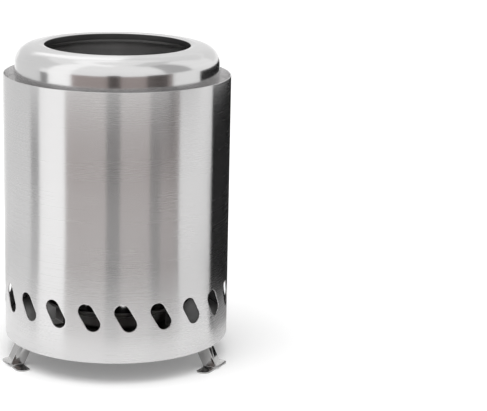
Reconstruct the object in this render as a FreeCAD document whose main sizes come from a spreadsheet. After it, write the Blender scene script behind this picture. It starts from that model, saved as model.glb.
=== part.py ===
"""Table-top smokeless fire pit: a vented double-walled stove that stands on three folding legs.

Millimetres, +Z up. The origin is on the pit's axis at table level, and the front faces -Y.
Turns round the pit are in degrees from +X towards +Y.
"""
import FreeCAD, Part
import math
import os
import re
import Sketcher

Vector = FreeCAD.Vector

# Driving dimensions. A radius is to the outside of its sheet, and a round is the outside of its bend.
SIZES = {
    # Outer shell, with slanted air inlets round its foot
    "shell_radius": "80",
    "shell_height": "188",
    "shell_lift": "15.6",
    "shell_sheet": "0.8",
    "shell_edge_round": "0.3",
    "vent_count": "20",
    "vent_rise": "32.1",
    "vent_length": "20.6",
    "vent_width": "10.6",
    "vent_tilt": "30",
    "first_vent_turn": "6.9",
    # Base plate, a dished disc welded inside the shell's foot
    "base_rise": "11.2",
    "base_sheet": "0.8",
    "base_lip": "6",
    "base_round": "2",
    # Burn chamber, hung from the ledge that closes the double wall
    "double_wall_width": "24.8",
    "chamber_sheet": "0.8",
    "chamber_rise": "24.3",
    "chamber_corner_round": "5",
    "chamber_flange": "9.9",
    "ledge_depth": "5.6",
    "ledge_lip": "6",
    "ledge_round": "1.8",
    "mouth_round": "2",
    "jet_count": "36",
    "jet_radius": "2",
    "jet_drop": "10",
    # Stand-offs between the base plate and the chamber
    "spacer_sheet": "0.8",
    "spacer_width": "12",
    "spacer_foot": "8",
    "spacer_shelf": "3.2",
    "spacer_round": "1.4",
    "spacer_setback": "0.4",
    # Flame ring, a spun dome that stands on the ledge
    "ring_inset": "8.2",
    "ring_sheet": "0.8",
    "ring_height": "24.2",
    "ring_slope": "7.2",
    "ring_shoulder_round": "12.5",
    "ring_overhang": "3",
    "ring_edge_round": "3",
    "ring_lip": "5.4",
    # Tabs that keep the ring centred on the chamber's mouth
    "tab_sheet": "1",
    "tab_width": "14",
    "tab_weld_height": "7",
    "tab_drop": "8",
    "tab_round": "2",
    "tab_clearance": "0.5",
    "first_tab_turn": "30",
    # Fire grate, a drilled disc that lies on the chamber's bottom flange
    "grate_seat": "2.5",
    "grate_sheet": "1.5",
    "grate_finger_radius": "8",
    "grate_finger_bridge": "5.5",
    "grate_bridge": "3",
    "grate_rim": "6.5",
    "grate_inner_count": "9",
    "grate_middle_count": "15",
    "grate_outer_count": "21",
    # Ash pan on the base plate, small enough to leave through the chamber's opening
    "pan_height": "9",
    "pan_sheet": "0.8",
    "pan_round": "4",
    "pan_rim": "1.6",
    "pan_clearance": "1.9",
    # Legs, channels of folded sheet with out-turned feet
    "leg_count": "3",
    "first_leg_turn": "90",
    "leg_width": "7.5",
    "leg_depth": "10.2",
    "leg_sheet": "1",
    "leg_splay": "28",
    "leg_fold_round": "0.5",
    "web_start": "1",
    "web_foot_gap": "2.7",
    "foot_reach": "12.1",
    "foot_setback": "2",
    "foot_bend": "1",
    "foot_outer_round": "5",
    "foot_inner_round": "4",
    "relief_round": "1",
    # Brackets that carry the legs under the base plate
    "bracket_sheet": "1",
    "bracket_round": "1.2",
    "bracket_tail": "3.5",
    "bracket_ear": "3",
    "bracket_ear_drop": "2.5",
    "bracket_ear_round": "2",
    # Pins, washers and rivets
    "pin_radius": "1.5",
    "pin_head_radius": "2.5",
    "pin_head": "0.8",
    "washer_radius": "2.6",
    "washer_sheet": "0.4",
    "rivet_radius": "1.25",
    "rivet_head_radius": "2.1",
    "rivet_head": "0.9",
    "rivet_crown_round": "0.6",
    "inner_rivet_setback": "13",
    "outer_rivet_setback": "7.5",
    # Clearances, and the overrun of cuts
    "weld_gap": "0.05",
    "seat_gap": "0.05",
    "running_gap": "0.05",
    "side_gap": "0.1",
    "leg_stop_gap": "0.32",
    "leg_fold_gap": "0.4",
    "overrun": "3",
}

# Places and sizes that follow from the driving dimensions.
PLACES = {
    "shell_inner_radius": "shell_radius - shell_sheet",
    "rim_height": "shell_lift + shell_height",
    "vent_height": "shell_lift + vent_rise",
    "vent_half_run": "(vent_length - vent_width) / 2",
    "weld_radius": "shell_inner_radius - weld_gap",
    "base_top": "shell_lift + base_rise",
    "base_under": "base_top - base_sheet",
    "ledge_height": "rim_height - ledge_depth",
    "chamber_bottom": "shell_lift + chamber_rise",
    "chamber_floor": "chamber_bottom + chamber_sheet",
    "chamber_radius": "shell_radius - double_wall_width",
    "chamber_inner_radius": "chamber_radius - chamber_sheet",
    "chamber_opening_radius": "chamber_inner_radius - chamber_flange",
    "jet_height": "ledge_height - jet_drop",
    "spacer_radius": "chamber_opening_radius + spacer_setback",
    "spacer_bottom": "base_top + weld_gap",
    "spacer_top": "chamber_bottom - weld_gap",
    "ring_radius": "shell_radius - ring_inset",
    "ring_hole_radius": "chamber_inner_radius - ring_overhang",
    "ring_foot": "ledge_height + seat_gap",
    "ring_shoulder": "ring_foot + ring_height",
    "ring_crown": "ring_shoulder + (ring_radius - ring_hole_radius) * tan(ring_slope)",
    "ring_sheet_drop": "ring_sheet / cos(ring_slope)",
    "tab_skirt_reach": "sqrt((ring_radius - ring_sheet) ^ 2 - (tab_width / 2) ^ 2)",
    "tab_mouth_reach": "sqrt(chamber_inner_radius ^ 2 - (tab_width / 2) ^ 2)",
    "tab_outer_radius": "tab_skirt_reach - weld_gap",
    "tab_inner_radius": "tab_mouth_reach - tab_clearance - tab_sheet",
    "grate_bottom": "chamber_floor + seat_gap",
    "grate_radius": "chamber_opening_radius + grate_seat",
    "grate_drilled_width": "grate_radius - grate_rim - grate_finger_radius - grate_finger_bridge",
    "grate_hole_radius": "(grate_drilled_width - 2 * grate_bridge) / 6",
    "grate_inner_ring": "grate_finger_radius + grate_finger_bridge + grate_hole_radius",
    "grate_middle_ring": "grate_inner_ring + 2 * grate_hole_radius + grate_bridge",
    "grate_outer_ring": "grate_middle_ring + 2 * grate_hole_radius + grate_bridge",
    "pan_radius": "chamber_opening_radius - pan_clearance - pan_rim",
    "pan_bottom": "base_top + seat_gap",
    "pan_top": "pan_bottom + pan_height",
    "leg_half_width": "leg_width / 2",
    "leg_half_depth": "leg_depth / 2",
    "leg_channel_half_width": "leg_half_width - leg_sheet",
    "foot_tip": "leg_half_width + foot_reach",
    "pivot_height": "base_under - leg_fold_gap - leg_half_depth",
    "pivot_rise": "pivot_height - shell_lift",
    "pivot_inset": "leg_half_depth / cos(leg_splay) + pivot_rise * tan(leg_splay) + leg_stop_gap",
    "pivot_radius": "shell_inner_radius - pivot_inset",
    "web_drop": "pivot_height - web_foot_gap",
    "washer_outer_side": "leg_channel_half_width - side_gap",
    "washer_inner_side": "washer_outer_side - washer_sheet",
    "bracket_half_width": "washer_inner_side - side_gap",
    "bracket_top": "base_under - weld_gap - pivot_height",
    "bracket_back": "inner_rivet_setback + bracket_tail",
    "pin_side": "leg_half_width + side_gap",
    "pin_hole_radius": "pin_radius + running_gap",
    "leg_pitch": "360 / leg_count",
}

LEGS = {"rear": "0", "left": "1", "right": "2"}


def linked(formula):
    """Point each name in a formula at the sheet that holds it."""

    def sheet_name(match):
        word = match.group()
        if word in SIZES:
            return "Sizes." + word
        if word in PLACES:
            return "Places." + word
        return word

    return re.sub(r"[a-z_]+", sheet_name, formula)


def fill_sheet(doc, name, cells):
    """Make a sheet with a row for each name: the name itself, then its cell with that alias."""
    sheet = doc.addObject("Spreadsheet::Sheet", name)
    for row, (alias, text) in enumerate(cells.items(), start=1):
        sheet.set(f"A{row}", alias)
        sheet.set(f"B{row}", text)
        sheet.setAlias(f"B{row}", alias)
    doc.recompute()
    return sheet


def value(body, formula):
    """Work a formula out as a plain number."""
    return float(body.evalExpression(linked(formula)))


def origin_part(body, role):
    """One of a body's own origin planes or axes."""
    for feature in body.Origin.OriginFeatures:
        if feature.Role == role:
            return feature


def new_body(doc, name):
    body = doc.addObject("PartDesign::Body", name)
    body.Label = name
    return body


def new_sketch(body, name, role):
    sketch = body.newObject("Sketcher::SketchObject", name)
    sketch.AttachmentSupport = [(origin_part(body, role), "")]
    sketch.MapMode = "FlatFace"
    return sketch


def pin_point(sketch, geometry, end, place):
    """Hold a point of a sketch at a place given by two formulas."""
    for kind, formula, axis in (("DistanceX", place[0], -2), ("DistanceY", place[1], -1)):
        if formula == "0":
            sketch.addConstraint(Sketcher.Constraint("PointOnObject", geometry, end, axis))
            continue
        number = value(sketch, formula)
        index = sketch.addConstraint(Sketcher.Constraint(kind, -1, 1, geometry, end, number))
        sketch.setExpression(f"Constraints[{index}]", linked(formula))


def set_radius(sketch, geometry, formula):
    number = value(sketch, formula)
    index = sketch.addConstraint(Sketcher.Constraint("Radius", geometry, number))
    sketch.setExpression(f"Constraints[{index}]", linked(formula))


def draw_circle(sketch, place, radius):
    centre = Vector(value(sketch, place[0]), value(sketch, place[1]), 0)
    circle = Part.Circle(centre, Vector(0, 0, 1), value(sketch, radius))
    geometry = sketch.addGeometry(circle)
    pin_point(sketch, geometry, 3, place)
    set_radius(sketch, geometry, radius)


def corner_arc(before, corner, after, radius):
    """The arc that rounds a corner, its two ends in walking order and whether it turns left."""
    arriving = (corner - before).normalize()
    leaving = (after - corner).normalize()
    turn = math.atan2(arriving.cross(leaving).z, arriving.dot(leaving))
    setback = radius * math.tan(abs(turn) / 2)
    first = corner - arriving * setback
    last = corner + leaving * setback
    side = Vector(-arriving.y, arriving.x, 0) * math.copysign(radius, turn)
    centre = first + side
    start, stop = (first, last) if turn > 0 else (last, first)
    low = math.atan2(start.y - centre.y, start.x - centre.x)
    high = math.atan2(stop.y - centre.y, stop.x - centre.x)
    if high < low:
        high += 2 * math.pi
    arc = Part.ArcOfCircle(Part.Circle(centre, Vector(0, 0, 1), radius), low, high)
    return arc, first, last, turn > 0


def draw_outline(sketch, corners):
    """Draw a closed outline through corners. A corner is two formulas, and a third where it is round."""
    count = len(corners)
    points = [Vector(value(sketch, corner[0]), value(sketch, corner[1]), 0) for corner in corners]
    starts = list(points)
    ends = list(points)
    arcs = {}
    for i, corner in enumerate(corners):
        if len(corner) == 3:
            radius = value(sketch, corner[2])
            arc, first, last, left = corner_arc(points[i - 1], points[i], points[(i + 1) % count], radius)
            ends[i], starts[i] = first, last
            arcs[i] = (sketch.addGeometry(arc), left)
    lines = []
    for i in range(count):
        lines.append(sketch.addGeometry(Part.LineSegment(starts[i], ends[(i + 1) % count])))
    for i, corner in enumerate(corners):
        arriving, leaving = lines[i - 1], lines[i]
        if i not in arcs:
            sketch.addConstraint(Sketcher.Constraint("Coincident", arriving, 2, leaving, 1))
            pin_point(sketch, leaving, 1, corner)
            continue
        arc, left = arcs[i]
        arc_start, arc_end = (1, 2) if left else (2, 1)
        sketch.addConstraint(Sketcher.Constraint("Tangent", arriving, 2, arc, arc_start))
        sketch.addConstraint(Sketcher.Constraint("Tangent", arc, arc_end, leaving, 1))
        set_radius(sketch, arc, corner[2])
        apex = sketch.addGeometry(Part.Point(points[i]), True)
        pin_point(sketch, apex, 1, corner)
        sketch.addConstraint(Sketcher.Constraint("PointOnObject", apex, 1, arriving))
        sketch.addConstraint(Sketcher.Constraint("PointOnObject", apex, 1, leaving))


def draw_slot(sketch, low, high, radius):
    """Draw a slot with round ends about two places."""
    foot = Vector(value(sketch, low[0]), value(sketch, low[1]), 0)
    head = Vector(value(sketch, high[0]), value(sketch, high[1]), 0)
    size = value(sketch, radius)
    run = (head - foot).normalize()
    side = Vector(-run.y, run.x, 0) * size
    facing = math.atan2(side.y, side.x)
    up = Vector(0, 0, 1)
    foot_arc = sketch.addGeometry(Part.ArcOfCircle(Part.Circle(foot, up, size), facing, facing + math.pi))
    head_arc = sketch.addGeometry(
        Part.ArcOfCircle(Part.Circle(head, up, size), facing - math.pi, facing)
    )
    left = sketch.addGeometry(Part.LineSegment(head + side, foot + side))
    right = sketch.addGeometry(Part.LineSegment(foot - side, head - side))
    sketch.addConstraint(Sketcher.Constraint("Tangent", left, 2, foot_arc, 1))
    sketch.addConstraint(Sketcher.Constraint("Tangent", foot_arc, 2, right, 1))
    sketch.addConstraint(Sketcher.Constraint("Tangent", right, 2, head_arc, 1))
    sketch.addConstraint(Sketcher.Constraint("Coincident", head_arc, 2, left, 1))
    pin_point(sketch, foot_arc, 3, low)
    pin_point(sketch, head_arc, 3, high)
    set_radius(sketch, foot_arc, radius)


def revolve(body, name, corners):
    """Turn a profile of radius and height round the pit's axis."""
    sketch = new_sketch(body, name + "_profile", "XZ_Plane")
    draw_outline(sketch, corners)
    turned = body.newObject("PartDesign::Revolution", name)
    turned.Profile = sketch
    turned.ReferenceAxis = (origin_part(body, "Z_Axis"), [""])
    body.Document.recompute()
    return turned


def pad(body, name, sketch, width):
    """Thicken a sketch to both sides of its plane."""
    padded = body.newObject("PartDesign::Pad", name)
    padded.Profile = sketch
    padded.SideType = "Symmetric"
    padded.setExpression("Length", linked(width))
    body.Document.recompute()
    return padded


def cut_through(body, name, sketch):
    """Cut a sketch through the whole body, to both sides of its plane."""
    cut = body.newObject("PartDesign::Pocket", name)
    cut.Profile = sketch
    cut.SideType = "Symmetric"
    cut.Type = "ThroughAll"
    body.Document.recompute()
    return cut


def cut_front(body, name, sketch, length):
    """Cut a sketch on the XZ plane towards -Y."""
    cut = body.newObject("PartDesign::Pocket", name)
    cut.Profile = sketch
    cut.Reversed = True
    cut.setExpression("Length", linked(length))
    body.Document.recompute()
    return cut


def repeat_round(body, name, features, count):
    """Repeat features evenly round the pit's axis."""
    pattern = body.newObject("PartDesign::PolarPattern", name)
    pattern.Originals = features
    pattern.Axis = (origin_part(body, "Z_Axis"), [""])
    pattern.Angle = 360
    pattern.setExpression("Occurrences", linked(count))
    body.Tip = pattern
    body.Document.recompute()
    return pattern


def round_edges(body, name, feature, picked, radius):
    """Round those edges of a feature that a test picks."""
    edges = feature.Shape.Edges
    names = [f"Edge{i}" for i, edge in enumerate(edges, start=1) if picked(edge)]
    rounded = body.newObject("PartDesign::Fillet", name)
    rounded.Base = (feature, names)
    rounded.setExpression("Radius", linked(radius))
    body.Document.recompute()
    return rounded


def turn_body(body, formula):
    """Turn a finished body round the pit's axis."""
    body.Placement = FreeCAD.Placement(Vector(0, 0, 0), FreeCAD.Rotation(Vector(0, 0, 1), 1))
    body.setExpression("Placement.Rotation.Angle", linked(formula))


def place_at_pivot(body, side):
    """Move a body made about a leg's pivot out to its place on the pit."""
    turn = f"first_leg_turn + leg_pitch * {LEGS[side]}"
    turn_body(body, turn)
    body.setExpression("Placement.Base.x", linked(f"pivot_radius * cos({turn})"))
    body.setExpression("Placement.Base.y", linked(f"pivot_radius * sin({turn})"))
    body.setExpression("Placement.Base.z", linked("pivot_height"))


def outer_shell(doc):
    """The plain cylinder that is the pit's outside, open at both ends."""
    body = new_body(doc, "outer_shell")
    revolve(body, "shell_wall", [
        ("shell_inner_radius", "shell_lift", "shell_edge_round"),
        ("shell_radius", "shell_lift", "shell_edge_round"),
        ("shell_radius", "rim_height", "shell_edge_round"),
        ("shell_inner_radius", "rim_height", "shell_edge_round"),
    ])
    sketch = new_sketch(body, "vent_outline", "XZ_Plane")
    across = "vent_half_run * sin(vent_tilt)"
    along = "vent_half_run * cos(vent_tilt)"
    low = (across, f"vent_height - {along}")
    high = (f"-{across}", f"vent_height + {along}")
    draw_slot(sketch, low, high, "vent_width / 2")
    vent = cut_front(body, "vent", sketch, "shell_radius + overrun")
    repeat_round(body, "vents", [vent], "vent_count")
    turn_body(body, "first_vent_turn")
    return body


def base_plate(doc):
    """The dished disc under the double wall, with holes for the bracket rivets."""
    body = new_body(doc, "base_plate")
    revolve(body, "base_disc", [
        ("0", "base_top"),
        ("0", "base_under"),
        ("weld_radius - base_sheet", "base_under", "base_round - base_sheet"),
        ("weld_radius - base_sheet", "base_top - base_lip"),
        ("weld_radius", "base_top - base_lip"),
        ("weld_radius", "base_top", "base_round"),
    ])
    sketch = new_sketch(body, "rivet_hole_outline", "XY_Plane")
    for setback in ("inner_rivet_setback", "outer_rivet_setback"):
        draw_circle(sketch, (f"pivot_radius - {setback}", "0"), "rivet_radius + weld_gap")
    holes = cut_through(body, "rivet_holes", sketch)
    repeat_round(body, "all_rivet_holes", [holes], "leg_count")
    turn_body(body, "first_leg_turn")
    return body


def burn_chamber(doc):
    """The inner pot with the ledge that closes the double wall, and the ring of air jets below it."""
    body = new_body(doc, "burn_chamber")
    revolve(body, "chamber_wall", [
        ("weld_radius", "ledge_height - ledge_lip"),
        ("weld_radius", "ledge_height", "ledge_round"),
        ("chamber_inner_radius", "ledge_height", "mouth_round"),
        ("chamber_inner_radius", "chamber_floor", "chamber_corner_round - chamber_sheet"),
        ("chamber_opening_radius", "chamber_floor"),
        ("chamber_opening_radius", "chamber_bottom"),
        ("chamber_radius", "chamber_bottom", "chamber_corner_round"),
        ("chamber_radius", "ledge_height - chamber_sheet", "mouth_round - chamber_sheet"),
        ("weld_radius - chamber_sheet", "ledge_height - chamber_sheet", "ledge_round - chamber_sheet"),
        ("weld_radius - chamber_sheet", "ledge_height - ledge_lip"),
    ])
    sketch = new_sketch(body, "jet_outline", "XZ_Plane")
    draw_circle(sketch, ("0", "jet_height"), "jet_radius")
    jet = cut_front(body, "jet", sketch, "chamber_radius + overrun")
    repeat_round(body, "jets", [jet], "jet_count")
    return body


def chamber_spacers(doc):
    """Bent stand-offs that hold the chamber's bottom flange above the base plate."""
    body = new_body(doc, "chamber_spacers")
    sketch = new_sketch(body, "spacer_outline", "XZ_Plane")
    inner_face = "spacer_radius + spacer_sheet"
    draw_outline(sketch, [
        ("spacer_radius", "spacer_bottom", "spacer_round"),
        ("spacer_radius + spacer_foot", "spacer_bottom"),
        ("spacer_radius + spacer_foot", "spacer_bottom + spacer_sheet"),
        (inner_face, "spacer_bottom + spacer_sheet", "spacer_round - spacer_sheet"),
        (inner_face, "spacer_top - spacer_sheet", "spacer_round - spacer_sheet"),
        ("spacer_radius + spacer_shelf", "spacer_top - spacer_sheet"),
        ("spacer_radius + spacer_shelf", "spacer_top"),
        ("spacer_radius", "spacer_top", "spacer_round"),
    ])
    spacer = pad(body, "spacer", sketch, "spacer_width")
    repeat_round(body, "spacers", [spacer], "leg_count")
    turn_body(body, "first_leg_turn")
    return body


def flame_ring(doc):
    """The spun ring on top: a straight skirt, a round shoulder, a low dome and a rolled-in edge."""
    body = new_body(doc, "flame_ring")
    inner_skirt = "ring_radius - ring_sheet"
    inner_edge = "ring_hole_radius + ring_sheet"
    revolve(body, "ring_wall", [
        ("ring_radius", "ring_foot"),
        ("ring_radius", "ring_shoulder", "ring_shoulder_round"),
        ("ring_hole_radius", "ring_crown", "ring_edge_round"),
        ("ring_hole_radius", "ring_crown - ring_lip"),
        (inner_edge, "ring_crown - ring_lip"),
        (
            inner_edge,
            "ring_crown - ring_sheet * tan(ring_slope) - ring_sheet_drop",
            "ring_edge_round - ring_sheet",
        ),
        (
            inner_skirt,
            "ring_shoulder + ring_sheet * tan(ring_slope) - ring_sheet_drop",
            "ring_shoulder_round - ring_sheet",
        ),
        (inner_skirt, "ring_foot"),
    ])
    return body


def ring_tabs(doc):
    """Bent tabs, welded inside the ring's skirt, that drop into the chamber's mouth."""
    body = new_body(doc, "ring_tabs")
    sketch = new_sketch(body, "tab_outline", "XZ_Plane")
    draw_outline(sketch, [
        ("tab_outer_radius", "ring_foot", "tab_round"),
        ("tab_outer_radius", "ring_foot + tab_weld_height"),
        ("tab_outer_radius - tab_sheet", "ring_foot + tab_weld_height"),
        ("tab_outer_radius - tab_sheet", "ring_foot + tab_sheet", "tab_round - tab_sheet"),
        ("tab_inner_radius", "ring_foot + tab_sheet", "tab_round + tab_sheet"),
        ("tab_inner_radius", "ring_foot - tab_drop"),
        ("tab_inner_radius + tab_sheet", "ring_foot - tab_drop"),
        ("tab_inner_radius + tab_sheet", "ring_foot", "tab_round"),
    ])
    tab = pad(body, "tab", sketch, "tab_width")
    repeat_round(body, "tabs", [tab], "leg_count")
    turn_body(body, "first_tab_turn")
    return body


def fire_grate(doc):
    """The drilled disc that holds the fuel, with a finger hole to lift it by."""
    body = new_body(doc, "fire_grate")
    revolve(body, "grate_disc", [
        ("grate_finger_radius", "grate_bottom"),
        ("grate_radius", "grate_bottom"),
        ("grate_radius", "grate_bottom + grate_sheet"),
        ("grate_finger_radius", "grate_bottom + grate_sheet"),
    ])
    for ring in ("inner", "middle", "outer"):
        sketch = new_sketch(body, f"{ring}_hole_outline", "XY_Plane")
        draw_circle(sketch, (f"grate_{ring}_ring", "0"), "grate_hole_radius")
        hole = cut_through(body, f"{ring}_hole", sketch)
        repeat_round(body, f"{ring}_holes", [hole], f"grate_{ring}_count")
    return body


def ash_pan(doc):
    """The shallow pan under the grate, with a rim turned out."""
    body = new_body(doc, "ash_pan")
    revolve(body, "pan_wall", [
        ("0", "pan_bottom"),
        ("pan_radius", "pan_bottom", "pan_round"),
        ("pan_radius", "pan_top - pan_sheet"),
        ("pan_radius + pan_rim", "pan_top - pan_sheet"),
        ("pan_radius + pan_rim", "pan_top"),
        ("pan_radius - pan_sheet", "pan_top"),
        ("pan_radius - pan_sheet", "pan_bottom + pan_sheet", "pan_round - pan_sheet"),
        ("0", "pan_bottom + pan_sheet"),
    ])
    return body


def on_leg(out, down):
    """A place in a leg's side view, out from its middle and down along it from the pivot."""
    across = f"({out}) * cos(leg_splay) + ({down}) * sin(leg_splay)"
    above = f"({out}) * sin(leg_splay) - ({down}) * cos(leg_splay)"
    return across, above


def at_depth(out, depth):
    """A place in a leg's side view, out from its middle and at a depth below the pivot."""
    return f"({out}) / cos(leg_splay) + ({depth}) * tan(leg_splay)", f"-({depth})"


def leg(doc, hand):
    """A folded channel that hangs from its pin and ends in two feet turned out to the sides."""
    body = new_body(doc, "leg_" + hand)
    sketch = new_sketch(body, "side_outline", "XZ_Plane")
    draw_outline(sketch, [
        on_leg("leg_half_depth", "0"),
        on_leg("-leg_half_depth", "0"),
        at_depth("-leg_half_depth", "pivot_height"),
        at_depth("leg_half_depth", "pivot_height"),
    ])
    pad(body, "blank", sketch, "2 * foot_tip")
    sketch = new_sketch(body, "head_outline", "XZ_Plane")
    draw_circle(sketch, ("0", "0"), "leg_half_depth")
    pad(body, "head", sketch, "leg_width")

    top = "leg_half_depth + overrun"
    beyond = "foot_tip + overrun"
    sketch = new_sketch(body, "inside_outline", "YZ_Plane")
    draw_outline(sketch, [
        ("-leg_channel_half_width", top),
        ("-leg_channel_half_width", "-pivot_height", "foot_bend + leg_sheet"),
        (f"-({beyond})", "-pivot_height"),
        (f"-({beyond})", "-pivot_height - overrun"),
        (beyond, "-pivot_height - overrun"),
        (beyond, "-pivot_height"),
        ("leg_channel_half_width", "-pivot_height", "foot_bend + leg_sheet"),
        ("leg_channel_half_width", top),
    ])
    cut_through(body, "inside", sketch)
    sketch = new_sketch(body, "outside_outline", "YZ_Plane")
    for sign in ("-", ""):
        draw_outline(sketch, [
            (f"{sign}leg_half_width", top),
            (f"{sign}leg_half_width", "leg_sheet - pivot_height", "foot_bend"),
            (f"{sign}({beyond})", "leg_sheet - pivot_height"),
            (f"{sign}({beyond})", top),
        ])
    cut_through(body, "outside", sketch)

    sketch = new_sketch(body, "web_outline", "XZ_Plane")
    draw_outline(sketch, [
        on_leg("leg_half_depth", "web_start"),
        on_leg("leg_half_depth - leg_sheet", "web_start"),
        at_depth("leg_half_depth - leg_sheet", "web_drop"),
        at_depth("leg_half_depth", "web_drop"),
    ])
    web = pad(body, "web", sketch, "leg_width")
    splay = math.radians(value(body, "leg_splay"))
    outward = Vector(math.cos(splay), 0, math.sin(splay))
    face = value(body, "leg_half_depth")
    side = value(body, "leg_half_width")
    slack = value(body, "running_gap")

    def on_fold(edge):
        return all(
            abs(corner.Point.dot(outward) - face) < slack and abs(abs(corner.Y) - side) < slack
            for corner in edge.Vertexes
        )

    round_edges(body, "folds", web, on_fold, "leg_fold_round")
    clear = at_depth("leg_half_depth + overrun", "pivot_height")[0]
    sketch = new_sketch(body, "relief_outline", "XZ_Plane")
    draw_outline(sketch, [
        (*at_depth("leg_half_depth - foot_setback", "web_drop"), "relief_round"),
        at_depth("leg_half_depth - foot_setback", "pivot_height + overrun"),
        (clear, "-pivot_height - overrun"),
        (clear, "-web_drop"),
    ])
    cut_through(body, "relief", sketch)
    sketch = new_sketch(body, "pin_hole_outline", "XZ_Plane")
    draw_circle(sketch, ("0", "0"), "pin_hole_radius")
    cut_through(body, "pin_hole", sketch)
    sketch = new_sketch(body, "foot_tip_outline", "XY_Plane")
    bend_end = "leg_half_width + foot_bend"
    near = at_depth("-leg_half_depth", "pivot_height - leg_sheet")[0]
    far = at_depth("leg_half_depth - foot_setback", "pivot_height")[0]
    for sign in ("-", ""):
        draw_outline(sketch, [
            (f"{near} - overrun", f"{sign}({bend_end})"),
            (near, f"{sign}({bend_end})"),
            (near, f"{sign}foot_tip", "foot_inner_round"),
            (far, f"{sign}foot_tip", "foot_outer_round"),
            (far, f"{sign}({bend_end})"),
            (f"{far} + overrun", f"{sign}({bend_end})"),
            (f"{far} + overrun", f"{sign}({beyond})"),
            (f"{near} - overrun", f"{sign}({beyond})"),
        ])
    cut_through(body, "foot_tips", sketch)
    place_at_pivot(body, hand)
    return body


def leg_bracket(doc, side):
    """A strip riveted under the base plate, with two ears turned down for the leg's pin."""
    body = new_body(doc, "leg_bracket_" + side)
    sketch = new_sketch(body, "strip_outline", "XZ_Plane")
    draw_outline(sketch, [
        ("-bracket_back", "bracket_top - bracket_sheet"),
        ("bracket_ear", "bracket_top - bracket_sheet"),
        ("bracket_ear", "bracket_top"),
        ("-bracket_back", "bracket_top"),
    ])
    pad(body, "strip", sketch, "2 * bracket_half_width")
    sketch = new_sketch(body, "ear_outline", "XZ_Plane")
    draw_outline(sketch, [
        ("-bracket_ear", "bracket_top"),
        ("-bracket_ear", "-bracket_ear_drop", "bracket_ear_round"),
        ("bracket_ear", "-bracket_ear_drop", "bracket_ear_round"),
        ("bracket_ear", "bracket_top"),
    ])
    pad(body, "ears", sketch, "2 * bracket_half_width")
    sketch = new_sketch(body, "between_outline", "YZ_Plane")
    inside = "bracket_half_width - bracket_sheet"
    roof = "bracket_top - bracket_sheet"
    floor = "-bracket_ear_drop - overrun"
    draw_outline(sketch, [
        (f"-({inside})", floor),
        (inside, floor),
        (inside, roof, "bracket_round - bracket_sheet"),
        (f"-({inside})", roof, "bracket_round - bracket_sheet"),
    ])
    cut_through(body, "between", sketch)
    sketch = new_sketch(body, "ear_hole_outline", "XZ_Plane")
    draw_circle(sketch, ("0", "0"), "pin_radius + weld_gap")
    cut_through(body, "ear_holes", sketch)
    sketch = new_sketch(body, "rivet_hole_outline", "XY_Plane")
    for setback in ("inner_rivet_setback", "outer_rivet_setback"):
        draw_circle(sketch, (f"-{setback}", "0"), "rivet_radius + weld_gap")
    cut_through(body, "rivet_holes", sketch)
    place_at_pivot(body, side)
    return body


def leg_pin(doc, side):
    """The leg's hinge pin, with a head formed at each end."""
    body = new_body(doc, "leg_pin_" + side)
    sketch = new_sketch(body, "pin_profile", "XY_Plane")
    end = "pin_side + pin_head"
    draw_outline(sketch, [
        ("0", f"-({end})"),
        ("pin_head_radius", f"-({end})", "pin_head / 2"),
        ("pin_head_radius", "-pin_side"),
        ("pin_radius", "-pin_side"),
        ("pin_radius", "pin_side"),
        ("pin_head_radius", "pin_side"),
        ("pin_head_radius", end, "pin_head / 2"),
        ("0", end),
    ])
    turned = body.newObject("PartDesign::Revolution", "pin")
    turned.Profile = sketch
    turned.ReferenceAxis = (origin_part(body, "Y_Axis"), [""])
    place_at_pivot(body, side)
    return body


def leg_washers(doc):
    """The washers between each bracket's ears and its leg's walls."""
    body = new_body(doc, "leg_washers")
    sketch = new_sketch(body, "washer_outline", "XZ_Plane")
    place = ("pivot_radius", "pivot_height")
    draw_circle(sketch, place, "washer_radius")
    draw_circle(sketch, place, "pin_hole_radius")
    pair = pad(body, "washer_stack", sketch, "2 * washer_outer_side")
    sketch = new_sketch(body, "gap_outline", "XZ_Plane")
    draw_circle(sketch, place, "washer_radius + overrun")
    gap = body.newObject("PartDesign::Pocket", "washer_gap")
    gap.Profile = sketch
    gap.SideType = "Symmetric"
    gap.setExpression("Length", linked("2 * washer_inner_side"))
    doc.recompute()
    repeat_round(body, "washers", [pair, gap], "leg_count")
    turn_body(body, "first_leg_turn")
    return body


def bracket_rivets(doc):
    """The rivets that hold the brackets, two to each."""
    body = new_body(doc, "bracket_rivets")
    low = "pivot_height + bracket_top - bracket_sheet - weld_gap"
    high = "base_top + weld_gap"
    rivets = []
    for name in ("inner", "outer"):
        sketch = new_sketch(body, f"{name}_rivet_profile", "XZ_Plane")
        centre = f"pivot_radius - {name}_rivet_setback"
        draw_outline(sketch, [
            (centre, f"{low} - rivet_head"),
            (f"{centre} + rivet_head_radius", f"{low} - rivet_head", "rivet_crown_round"),
            (f"{centre} + rivet_head_radius", low),
            (f"{centre} + rivet_radius", low),
            (f"{centre} + rivet_radius", high),
            (f"{centre} + rivet_head_radius", high),
            (f"{centre} + rivet_head_radius", f"{high} + rivet_head", "rivet_crown_round"),
            (centre, f"{high} + rivet_head"),
        ])
        axis = sketch.addGeometry(
            Part.LineSegment(
                Vector(value(sketch, centre), 0, 0),
                Vector(value(sketch, centre), value(sketch, high), 0),
            ),
            True,
        )
        pin_point(sketch, axis, 1, (centre, "0"))
        pin_point(sketch, axis, 2, (centre, high))
        rivet = body.newObject("PartDesign::Revolution", f"{name}_rivet")
        rivet.Profile = sketch
        rivet.ReferenceAxis = (sketch, ["Axis0"])
        doc.recompute()
        rivets.append(rivet)
    repeat_round(body, "rivets", rivets, "leg_count")
    turn_body(body, "first_leg_turn")
    return body


def check(doc):
    """Stop where an object of the document has failed."""
    for item in doc.Objects:
        if "Invalid" in item.State or "Error" in item.State:
            raise RuntimeError(f"{item.Label} failed: {item.State}")


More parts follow.
